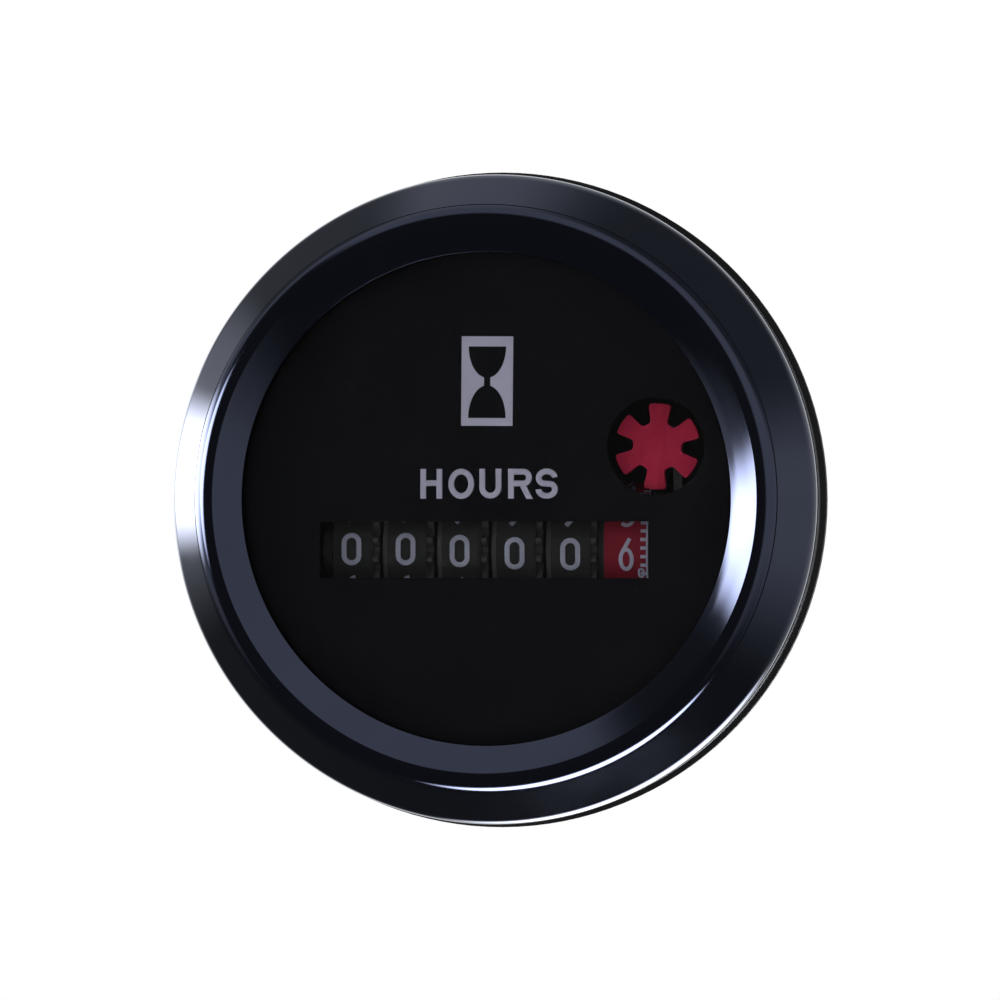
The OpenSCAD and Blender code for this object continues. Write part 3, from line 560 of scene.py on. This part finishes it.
def layStrokes(strokes, halfWidth, move=(0, 0)):
    # a mesh in x and y
    curve = bpy.data.curves.new("strokes", "CURVE")
    curve.dimensions = "3D"
    curve.bevel_depth = halfWidth * mm
    curve.bevel_resolution = strokeLook["roundSteps"]
    curve.use_fill_caps = True
    for path in strokes:
        spline = curve.splines.new("POLY")
        path = evenSteps(path, strokeLook["longest"])
        closed = math.dist(path[0], path[-1]) < strokeLook["same"]
        points = path[:-1] if closed else path
        spline.points.add(len(points) - 1)
        for spot, (x, y) in zip(spline.points, points):
            spot.co = ((x + move[0]) * mm, (y + move[1]) * mm, 0, 1)
        spline.use_cyclic_u = closed
    piece = bpy.data.objects.new("strokes", curve)
    scene.collection.objects.link(piece)
    pick(piece)
    bpy.ops.object.convert(target="MESH")
    return bpy.context.object


def joinAll(pieces):
    clearAll()
    for piece in pieces:
        piece.select_set(True)
    bpy.context.view_layer.objects.active = pieces[0]
    bpy.ops.object.join()
    return bpy.context.object


# printing on the dial, in mm on its face: x right, y up; each letter has its left side and width
dialPrint = {"face": 8.3, "thick": 0.012, "letterHeight": 2.69, "letterBase": 0.02, "stroke": 0.27, "below": 0.03,
             "word": [("H", -6.2, 2.02), ("O", -3.64, 2.37), ("U", -0.81, 2.03), ("R", 1.81, 2.18), ("S", 4.32, 2.03)]}
letterShape = {"crossbar": 0.06, "over": 0.03, "ovalSteps": 24, "bowl": 0.49, "bowlArc": 80, "legTop": 0.05,
               "knee": (0.22, 0.1), "foot": (0.14, 0.2), "bend": 0.52, "upperWidth": 0.97}
hourglass = {"centre": (-0.09, 10.63), "size": (4.69, 8.07), "lean": -0.5, "bulb": 1.71, "top": 3.13, "bottom": -3.34,
             "neck": 0.29, "neckTop": 0.33, "neckBottom": -0.43, "steps": 24}


def raiseOnDial(piece):
    # stands a flat mesh up on the dial's face
    piece.data.transform(Matrix.Rotation(math.radians(90), 4, "X"))
    piece.data.transform(Matrix.Translation((0, -dialPrint["face"] * mm, 0)))


def letterStrokes(letter, wide, tall):
    # centre lines inside the letter's box
    s = letterShape
    w, h = wide / 2 - dialPrint["stroke"], tall / 2 - dialPrint["stroke"]
    top = tall / 2
    if letter == "H":
        return [[(-w, -top), (-w, top)], [(w, -top), (w, top)], [(-w, s["crossbar"]), (w, s["crossbar"])]]
    if letter == "O":
        turns = [i * math.pi / s["ovalSteps"] for i in range(2 * s["ovalSteps"] + 1)]
        return [[(w * math.cos(a), (h + s["over"]) * math.sin(a)) for a in turns]]
    if letter == "U":
        return [[(-w, top)] + arcPoints((0, -h + w), w, 180, 360, 20) + [(w, top)]]
    if letter == "R":
        bowl = h * s["bowl"]
        turn, waist = w - bowl, h - 2 * bowl
        loop = arcPoints((turn, h - bowl), bowl, s["bowlArc"], -s["bowlArc"], 14)
        return [[(-w, -top), (-w, top)],
                [(-w, h), (turn, h)] + loop + [(turn, waist), (-w, waist)],
                [(0.0, waist + s["legTop"]), (s["knee"][0], waist - s["knee"][1]),
                 (w + s["foot"][0], -top - s["foot"][1])]]
    r = h * s["bend"]
    upper = [(w * s["upperWidth"] * math.cos(math.radians(a)), h - r + (r + s["over"]) * math.sin(math.radians(a)))
             for a in range(4, 237, 8)]
    lower = [(w * math.cos(math.radians(a)), r - h + (r + s["over"]) * math.sin(math.radians(a)))
             for a in range(52, -181, -8)]
    return [upper + lower]


def makeWord():
    p = dialPrint
    pieces = []
    for letter, left, wide in p["word"]:
        strokes = letterStrokes(letter, wide, p["letterHeight"])
        middle = (left + wide / 2, p["letterBase"] + p["letterHeight"] / 2)
        pieces.append(layStrokes(strokes, p["stroke"], middle))
    piece = joinAll(pieces)
    low = p["letterBase"] - p["below"]
    for v in piece.data.vertices:
        v.co.y = max(v.co.y, low * mm)  # the R's leg ends flat on the base line
        v.co.z = max(0.0, v.co.z / (p["stroke"] * mm)) * p["thick"] * mm
    raiseOnDial(piece)
    settle(piece, "wordPrint")
    wear(piece, "printGrey", "meter")


def makeHourglass():
    g = hourglass
    w, h = g["size"]
    frameLoop = [(-w / 2, -h / 2), (w / 2, -h / 2), (w / 2, h / 2), (-w / 2, h / 2)]
    # each bulb is half an ellipse, cut off at the neck
    right = []
    for level, end in ((g["top"], g["neckTop"]), (g["bottom"], g["neckBottom"])):
        deep = (level - end) / math.sqrt(1 - (g["neck"] / g["bulb"]) ** 2)
        last = math.asin((level - end) / deep)
        turns = [last * k / g["steps"] for k in range(g["steps"] + 1)]
        side = [(g["bulb"] * math.cos(a), level - deep * math.sin(a)) for a in turns]
        right += side if not right else side[::-1]
    bulbs = right + [(-x, y) for x, y in reversed(right)]
    curve = bpy.data.curves.new("hourglassPrint", "CURVE")
    curve.dimensions = "2D"
    curve.fill_mode = "BOTH"
    turn = Matrix.Rotation(math.radians(g["lean"]), 2)
    for loop in (frameLoop, bulbs):
        spline = curve.splines.new("POLY")
        spline.points.add(len(loop) - 1)
        for spot, point in zip(spline.points, loop):
            at = (turn @ Vector(point) + Vector(g["centre"])) * mm
            spot.co = (at.x, at.y, 0, 1)
        spline.use_cyclic_u = True
    piece = bpy.data.objects.new("hourglassPrint", curve)
    scene.collection.objects.link(piece)
    pick(piece)
    bpy.ops.object.convert(target="MESH")
    piece = bpy.context.object
    pick(piece)
    solid = piece.modifiers.new("print", "SOLIDIFY")
    solid.thickness = dialPrint["thick"] * mm
    solid.offset = 1
    bpy.ops.object.modifier_apply(modifier="print")
    raiseOnDial(piece)
    settle(piece, "hourglassPrint")
    wear(piece, "printGrey", "meter")


# numbers on the drums, wrapped round each drum; turned and nudge are the small errors that the photograph shows
drums = {"radius": 6.2, "pitch": 5.0, "first": -12.85, "thick": 0.02, "sink": 0.003, "step": 36.0,
         "black": {"width": 1.37, "height": 2.52, "stroke": 0.23},
         "red": {"width": 1.02, "height": 2.8, "stroke": 0.18},
         "names": ["ten_thousands", "thousands", "hundreds", "tens", "units", "tenths"], "shown": [0, 0, 0, 0, 0, 6],
         "turned": [0.7, 0.7, -1.0, -3.0, -3.75, -3.4], "nudge": [-0.1, -0.11, -0.14, -0.1, -0.02, 0.08]}


def digitStrokes(digit, width, height):
    # centre lines, mostly as shares of half the width and half the height
    w, h = width / 2, height / 2
    if digit == 0:
        return [arcPoints((0, h - w), w, 0, 180, 16) + arcPoints((0, w - h), w, 180, 360, 16) + [(w, h - w)]]
    if digit == 1:
        return [[(-0.5 * w, h - 0.5), (0.2 * w, h), (0.2 * w, -h)]]
    if digit == 2:
        return [arcPoints((0, h - w), w, 170, -25, 16) + [(-w, -h), (w, -h)]]
    if digit == 3:
        r = 0.9 * w
        return [arcPoints((0, h - r), r, 160, 0, 12) + [(r, 0.2 * h), (0.2 * w, 0)] + [(0.2 * w, 0), (w, -0.2 * h)]
                + arcPoints((0, w - h), w, 0, -160, 12)]
    if digit == 4:
        return [[(0.1 * w, h), (-w, -0.4 * h), (w, -0.4 * h)], [(0.45 * w, 0.1 * h), (0.45 * w, -h)]]
    if digit == 5:
        return [[(0.9 * w, h), (-0.85 * w, h), (-0.9 * w, 0.05 * h)] + arcPoints((0, w - h + 0.15), w, 130, -145, 18)]
    if digit in (6, 9):
        # a long leaning stem over an oval bowl
        bowl = arcPoints((0, 0), 1, 140, 500, 26)
        deep = 0.32 * height
        path = [(0.62 * w, h)] + [(x * w, y * deep + deep - h) for x, y in bowl]
        return [path if digit == 6 else [(-x, -y) for x, y in path]]
    if digit == 7:
        return [[(-w, h), (w, h), (-0.3 * w, -h)]]
    r = 0.26 * height
    upper = [(0.88 * w * x, h - r + r * y) for x, y in arcPoints((0, 0), 1, -90, 270, 20)]
    lower = [(w * x, r - h + r * y) for x, y in arcPoints((0, 0), 1, 90, 450, 22)]
    return [upper, lower]


def wrapOnDrum(piece, centreX, halfWidth):
    # y becomes the way round the drum, z a thin layer on its rim
    r = drums["radius"] * mm
    axisY, axisZ = [value * mm for value in drumAxis]
    for v in piece.data.vertices:
        a = v.co.y / r
        lift = r + max(0.0, v.co.z / (halfWidth * mm)) * drums["thick"] * mm - drums["sink"] * mm
        v.co = Vector((centreX * mm + v.co.x, axisY - lift * math.cos(a), axisZ + lift * math.sin(a)))
    piece.data.update()


def turnOnDrum(piece, degrees):
    axis = Vector((0, *drumAxis)) * mm
    turn = Matrix.Translation(axis) @ Matrix.Rotation(math.radians(-degrees), 4, "X") @ Matrix.Translation(-axis)
    piece.data.transform(turn)


def makeNumbers(i):
    name, shown = drums["names"][i], drums["shown"][i]
    colour = "red" if name == "tenths" else "black"
    style = drums[colour]
    x = drums["first"] + i * drums["pitch"] + drums["nudge"][i]
    pieces = []
    for digit in range(10):
        piece = layStrokes(digitStrokes(digit, style["width"], style["height"]), style["stroke"])
        wrapOnDrum(piece, x, style["stroke"])
        turnOnDrum(piece, -(digit - shown) * drums["step"] + drums["turned"][i])
        pieces.append(piece)
    piece = joinAll(pieces)
    smoothBy(strokeLook["smooth"])
    settle(piece, "numbers_" + name)
    wear(piece, "digitGrey", name)


for i in range(len(drums["names"])):
    makeNumbers(i)

# fine scale on the red drum's right edge: ticks, a band along the edge and small zeros
scale = {"ticks": 50, "left": 13.52, "right": 14.19, "tickWidth": 0.3, "tickRise": 0.08, "fullRise": 0.1, "start": 1.5,
         "band": 0.16, "bandRise": 0.012, "bandSides": 120, "zero": (0.42, 0.75, 0.1), "zeros": 5, "zeroIn": 0.06,
         "zeroAt": -19.7}


def makeScale():
    s = scale
    pieces = []
    for k in range(s["ticks"]):
        clearAll()
        bpy.ops.mesh.primitive_plane_add(size=1)
        tick = bpy.context.object
        tick.scale = ((s["right"] - s["left"]) * mm, s["tickWidth"] * mm, 1)
        tick.location = ((s["left"] + s["right"]) / 2 * mm, 0, 0)
        applyPlace()
        for v in tick.data.vertices:
            v.co.z = s["tickRise"] * mm
        wrapOnDrum(tick, 0, s["fullRise"])
        turnOnDrum(tick, k * 360 / s["ticks"] + s["start"])
        pieces.append(tick)
    clearAll()
    middle = (s["right"] - s["band"] / 2, *drumAxis)
    bpy.ops.mesh.primitive_cylinder_add(
        vertices=s["bandSides"], radius=drums["radius"] * mm + s["bandRise"] * mm, depth=s["band"] * mm,
        end_fill_type="NOTHING", location=[value * mm for value in middle], rotation=(0, math.radians(90), 0))
    pieces.append(bpy.context.object)
    applyPlace()
    wide, tall, half = s["zero"]
    for k in range(s["zeros"]):
        small = layStrokes(digitStrokes(0, wide, tall), half)
        wrapOnDrum(small, s["left"] + s["zeroIn"], half)
        turnOnDrum(small, k * 360 / s["zeros"] + s["zeroAt"])
        pieces.append(small)
    piece = joinAll(pieces)
    smoothBy(strokeLook["smooth"])
    settle(piece, "tenthsScale")
    wear(piece, "digitGrey", "tenths")


makeScale()
makeWord()
makeHourglass()
print("drums and dial printed")


def bevelEdges(piece, width):
    edge = piece.modifiers.new("edge", "BEVEL")
    edge.width = width * mm
    edge.segments = 2
    bpy.ops.object.modifier_apply(modifier="edge")


# mounting studs: cut threads on the solid's studs; heights are from the panel to the back
# tooth: way along one pitch and whether it is at the crest
studs = {"radius": 2.0, "pitch": 0.7, "depth": 0.42, "start": 31.85, "end": 44.4, "head": 4.0, "headTop": 26.8,
         "headBack": 29.0, "headEdge": 0.15, "neck": 2.28, "neckEnd": 31.8, "rings": (32.2, 44.3), "tip": 45.0,
         "chamfer": 0.25, "tooth": ((0, 0), (0.08, 0), (0.45, 1), (0.55, 1), (0.92, 0), (1, 0)), "steps": 40,
         "weld": 1e-6, "smooth": 35}


def makeThread(x):
    # one tooth of the thread, swept round and along by the screw modifier
    s = studs
    levels = (s["radius"] - s["depth"], s["radius"])
    thread = tracePath([Vector((levels[crest] * mm, 0, along * s["pitch"] * mm)) for along, crest in s["tooth"]])
    bpy.ops.object.mode_set(mode="OBJECT")
    sweep = thread.modifiers.new("thread", "SCREW")
    sweep.angle = 2 * math.pi
    sweep.screw_offset = s["pitch"] * mm
    sweep.iterations = int((s["end"] - s["start"]) / s["pitch"])
    sweep.steps = s["steps"]
    sweep.render_steps = s["steps"]
    sweep.use_merge_vertices = True
    sweep.merge_threshold = s["weld"]
    bpy.ops.object.modifier_apply(modifier="thread")
    thread.data.transform(Matrix.Rotation(math.radians(-90), 4, "X"))
    thread.data.transform(Matrix.Translation((x * mm, s["start"] * mm, 0)))
    bpy.ops.object.mode_set(mode="EDIT")
    closeMesh()
    return thread


def makeShank(x):
    # plain shank with a neck and a chamfered end
    s = studs
    low = s["radius"] - s["depth"]
    profile = [(0, s["headBack"]), (s["neck"], s["headBack"]), (s["neck"], s["neckEnd"]), (low, s["neckEnd"])]
    profile += [(low, ring) for ring in s["rings"]]
    profile += [(low, s["tip"] - s["chamfer"]), (low - s["chamfer"], s["tip"]), (0, s["tip"])]
    shank = spinProfile("shank", [(r, -back) for r, back in profile], s["steps"])
    shank.data.transform(Matrix.Translation((x * mm, 0, 0)))
    return shank


def makeHead(x):
    s = studs
    clearAll()
    bpy.ops.mesh.primitive_cylinder_add(
        vertices=6, radius=s["head"] * mm, depth=(s["headBack"] - s["headTop"]) * mm,
        location=(x * mm, (s["headBack"] + s["headTop"]) / 2 * mm, 0), rotation=(math.radians(90), 0, 0))
    head = bpy.context.object
    head.data.transform(Matrix.Rotation(math.radians(30), 4, "Z"))
    applyPlace()
    bevelEdges(head, s["headEdge"])
    return head


def makeStuds():
    pieces = []
    for x in (-studX, studX):
        pieces += [makeThread(x), makeShank(x), makeHead(x)]
    piece = joinAll(pieces)
    smoothBy(studs["smooth"])
    settle(piece, "threadedStuds")
    wear(piece, "threadSteel", "meter")
    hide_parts("mounting_studs")


makeStuds()
print("studs threaded")


# moulded signs beside the terminals
signs = {"x": 12.0, "z": -13.2, "back": 31.0, "arm": 1.5, "half": 0.28, "rise": 0.25, "sink": 0.02, "edge": 0.08}


def makeSigns():
    s = signs
    pieces = []
    for x, turn in ((-s["x"], 0), (s["x"], 0), (s["x"], 90)):
        clearAll()
        bpy.ops.mesh.primitive_cube_add(
            size=1, location=(x * mm, (s["back"] + s["rise"] / 2 - s["sink"]) * mm, s["z"] * mm),
            rotation=(0, math.radians(turn), 0),
            scale=(2 * s["arm"] * mm, (s["rise"] + 2 * s["sink"]) * mm, 2 * s["half"] * mm))
        bar = bpy.context.object
        applyPlace()
        bevelEdges(bar, s["edge"])
        pieces.append(bar)
    piece = joinAll(pieces)
    settle(piece, "terminalSigns")
    wear(piece, "caseBlack", "meter")


makeSigns()
print("signs moulded")


# light: white backdrop behind, a dim room that the gloss shows, and soft boxes in it
# soft boxes and dark flags: way, stretch across the axes, core and rim of the cone in degrees, brightness
# lamps: name, way, distance and size in metres, brightness
studio = {"fill": 0.62, "up": 0.52, "side": 0.5, "down": 0.06, "rise": (0.0, 0.8), "fade": (-0.62, -0.12),
          "backCore": 24.0, "backRim": 36.0, "least": 0.055, "tint": (0.93, 0.96, 1.0),
          "flags": [((-0.27, -0.94, -0.2), (1, 1, 0.75), 42.0, 58.0, 0.05),
                    ((0.6, 0.32, 0.74), (1, 1, 1), 20.0, 42.0, 0.25),
                    ((-0.69, 0.49, -0.54), (1, 1, 1), 14.0, 30.0, 0.15),
                    ((-0.64, 0.55, 0.54), (1, 1, 1), 14.0, 26.0, 0.35),
                    ((-0.75, -0.38, 0.54), (1, 1, 1), 8.0, 22.0, 0.15)],
          "softBoxes": [((-0.97, 0.24, 0.08), (1, 0.42, 1.15), 6.0, 19.0, 11.0),
                        ((-0.8, 0.52, 0.25), (1, 1, 1), 3.0, 16.0, 0.5),
                        ((-0.873, -0.477, 0.1), (1, 1, 1), 7.0, 16.0, 13.0),
                        ((0.27, 0.03, -0.962), (0.54, 1, 1), 13.0, 21.0, 16.0),
                        ((0.2, 0.78, -0.6), (0.7, 1, 1), 6.0, 19.0, 9.0),
                        ((-0.66, 0.75, 0.06), (1, 1, 2.2), 8.0, 24.0, 1.6)],
          "lamps": [("keyLamp", (-0.12, -0.95, 0.2), 0.7, (0.35, 0.35), 1.2),
                    ("lowLamp", (0.3, -0.9, -0.2), 0.6, (0.25, 0.25), 0.8)]}
paleFloor = {"height": -0.26, "radius": 0.8, "sides": 96, "tone": (0.72, 0.72, 0.72), "rough": 0.9, "glow": 0.93}


def facing(tree, way, aim, stretch):
    # how squarely a direction points along aim, in a space stretched across the axes
    wide, level, dot = [tree.nodes.new("ShaderNodeVectorMath") for _ in range(3)]
    wide.operation, level.operation, dot.operation = "MULTIPLY", "NORMALIZE", "DOT_PRODUCT"
    wide.inputs[1].default_value = stretch
    dot.inputs[1].default_value = (Vector(aim) * Vector(stretch)).normalized()
    wire(tree, (way, wide.inputs[0]), (wide.outputs[0], level.inputs[0]), (level.outputs[0], dot.inputs[0]))
    return dot.outputs["Value"]


def lobe(tree, way, aim, stretch, inner, outer, edge, middle):
    near, far = math.cos(math.radians(inner)), math.cos(math.radians(outer))
    return addRange(tree, facing(tree, way, aim, stretch), far, near, edge, middle, True)


def mirrorRoom(tree, way):
    # brightness of the room, by direction, as the gloss shows it
    split = tree.nodes.new("ShaderNodeSeparateXYZ")
    wire(tree, (way, split.inputs[0]))
    height = split.outputs["Z"]
    upper = addRange(tree, height, *studio["rise"], studio["side"], studio["up"], True)
    lower = addRange(tree, height, *studio["fade"], studio["down"], studio["side"], True)
    mirrored = addMath(tree, "MINIMUM", upper, lower)
    for *shape, level in studio["flags"]:
        mirrored = addMath(tree, "MULTIPLY", mirrored, lobe(tree, way, *shape, 1.0, level))
    mirrored = addMath(tree, "MAXIMUM", mirrored, studio["least"])
    yaw = math.radians(camera["yaw"])
    behind = (-math.sin(yaw), math.cos(yaw), 0)
    backdrop = lobe(tree, way, behind, (1, 1, 1), studio["backCore"], studio["backRim"], 0.0, 1.0)
    mirrored = addMath(tree, "MAXIMUM", mirrored, backdrop)
    for *shape, level in studio["softBoxes"]:
        mirrored = addMath(tree, "ADD", mirrored, lobe(tree, way, *shape, 0.0, level))
    return mirrored


def makeWorld():
    world = bpy.data.worlds.new("studio")
    scene.world = world
    world.use_nodes = True
    tree = world.node_tree
    tree.nodes.clear()
    out = tree.nodes.new("ShaderNodeOutputWorld")
    light = tree.nodes.new("ShaderNodeLightPath").outputs
    way = tree.nodes.new("ShaderNodeTexCoord").outputs["Generated"]
    # straight through the lens the backdrop is white too
    bounced = addMath(tree, "ADD", light["Diffuse Depth"], light["Glossy Depth"])
    clear = addMath(tree, "MULTIPLY", light["Is Transmission Ray"], addMath(tree, "LESS_THAN", bounced, 0.5))
    seen = addMath(tree, "MAXIMUM", light["Is Camera Ray"], clear)
    gloss = addMath(tree, "MAXIMUM", light["Is Glossy Ray"], light["Is Transmission Ray"])
    fill, mirror, white = [tree.nodes.new("ShaderNodeBackground") for _ in range(3)]
    for shade, colour, strength in ((fill, (1, 1, 1), studio["fill"]), (mirror, studio["tint"], 1.0),
                                    (white, (1, 1, 1), 1.0)):
        shade.inputs["Color"].default_value = (*colour, 1)
        shade.inputs["Strength"].default_value = strength
    wire(tree, (mirrorRoom(tree, way), mirror.inputs["Strength"]))
    mixGloss, mixSeen = [tree.nodes.new("ShaderNodeMixShader") for _ in range(2)]
    for mix, share, first, second in ((mixGloss, gloss, fill, mirror), (mixSeen, seen, mixGloss, white)):
        wire(tree, (share, mix.inputs[0]), (first.outputs[0], mix.inputs[1]), (second.outputs[0], mix.inputs[2]))
    wire(tree, (mixSeen.outputs[0], out.inputs["Surface"]))


def makeFloor():
    clearAll()
    bpy.ops.mesh.primitive_circle_add(vertices=paleFloor["sides"], radius=paleFloor["radius"], fill_type="NGON",
                                      location=(0, 0, paleFloor["height"]))
    floor = settle(bpy.context.object, "paleFloor")
    material, tree, shader = newFinish("paleFloor")
    shader.inputs["Base Color"].default_value = (*paleFloor["tone"], 1)
    shader.inputs["Roughness"].default_value = paleFloor["rough"]
    light = tree.nodes.new("ShaderNodeLightPath")
    glow = tree.nodes.new("ShaderNodeEmission")
    glow.inputs["Color"].default_value = (1, 1, 1, 1)
    mix = tree.nodes.new("ShaderNodeMixShader")
    share = addMath(tree, "MULTIPLY", light.outputs["Is Camera Ray"], paleFloor["glow"])
    wire(tree, (share, mix.inputs[0]), (shader.outputs[0], mix.inputs[1]), (glow.outputs[0], mix.inputs[2]),
         (mix.outputs[0], tree.nodes["Material Output"].inputs["Surface"]))
    floor.data.materials.append(material)
    floor.visible_glossy = False


def makeLamps():
    for name, way, distance, size, level in studio["lamps"]:
        way = Vector(way).normalized()
        clearAll()
        bpy.ops.object.light_add(type="AREA", location=way * distance)
        lamp = bpy.context.object
        lamp.name = name
        lamp.rotation_mode = "QUATERNION"
        lamp.rotation_quaternion = way.to_track_quat("Z", "Y")
        lamp.data.shape = "RECTANGLE"
        lamp.data.size, lamp.data.size_y = size
        lamp.data.energy = level * math.pi * size[0] * size[1]  # level is the lamp's brightness
        lamp.visible_camera = False
        lamp.visible_glossy = False
        lamp.visible_transmission = False  # no lamp mirrored in the lens


makeWorld()
makeFloor()
makeLamps()
print("studio lit")

clearAll()
